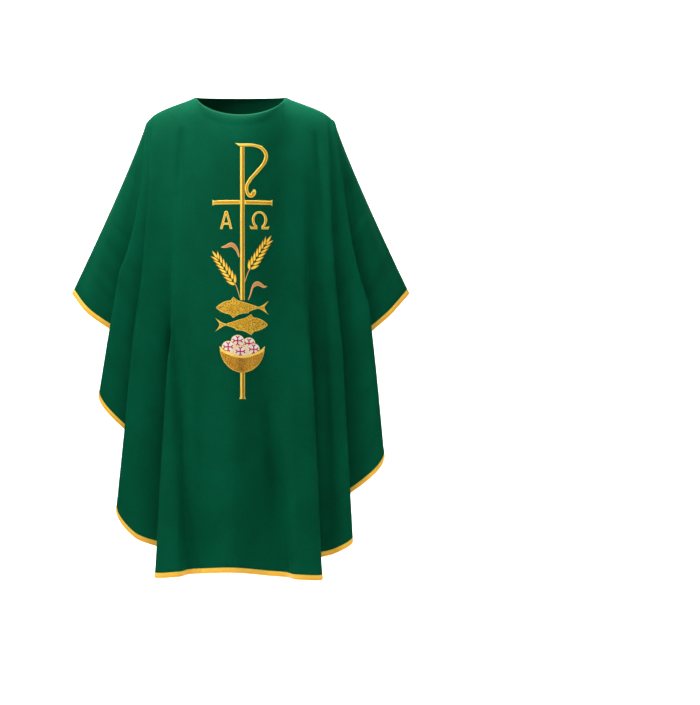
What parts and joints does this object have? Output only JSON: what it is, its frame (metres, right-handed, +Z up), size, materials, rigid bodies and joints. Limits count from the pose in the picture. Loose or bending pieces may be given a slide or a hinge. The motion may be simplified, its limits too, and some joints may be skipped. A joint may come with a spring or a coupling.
{
  "type": "chasuble",
  "caption": "Wide green vestment with open sides, hung in folds from the shoulders, gold hem binding and an embroidered front motif.",
  "frame": {"origin": "middle of the neck opening, level with the two neck points where the shoulder seams begin", "axes": "+Z up along the wearer, -Y out of the wearer's chest, +X to the wearer's left"},
  "size_m": [0.8903, 0.3879, 1.2525],
  "materials": {
    "green_cloth": "soft woven cloth with a slight sheen",
    "green_facing": "the same cloth, seen from its wrong side",
    "gold_satin": "ribbed satin binding",
    "gold_thread": "satin-stitched embroidery thread",
    "pale_gold_thread": "satin-stitched embroidery thread",
    "copper_thread": "satin-stitched embroidery thread",
    "white_thread": "filled embroidery",
    "red_thread": "satin-stitched embroidery thread",
    "stabiliser_fleece": "non-woven backing sheet"
  },
  "bodies": {
    "root": {"front_panel": "green_cloth", "back_panel": "green_cloth", "front_neck_facing": "green_facing", "back_neck_facing": "green_facing", "front_hem_binding": "gold_satin", "back_hem_binding": "gold_satin", "right_shoulder_seam": "green_facing", "left_shoulder_seam": "green_facing", "embroidery_stabiliser": "stabiliser_fleece", "staff": "gold_thread", "staff_bow": "pale_gold_thread", "crossbar_right": "gold_thread", "crossbar_left": "gold_thread", "first_letter": "gold_thread", "last_letter": "pale_gold_thread", "upper_wheat_ear": "pale_gold_thread", "lower_wheat_ear": "pale_gold_thread", "upper_wheat_stem": "copper_thread", "lower_wheat_stem": "copper_thread", "upper_leaf": "copper_thread", "lower_leaf": "copper_thread", "upper_fish": "gold_thread", "lower_fish": "gold_thread", "bowl": "gold_thread", "bowl_rim": "pale_gold_thread", "bowl_stem": "gold_thread", "host_1": "white_thread", "host_cross_1": "red_thread", "host_2": "white_thread", "host_cross_2": "red_thread", "host_3": "white_thread", "host_cross_3": "red_thread", "host_4": "white_thread", "host_cross_4": "red_thread", "host_5": "white_thread", "host_cross_5": "red_thread"}
  },
  "joints": []
}
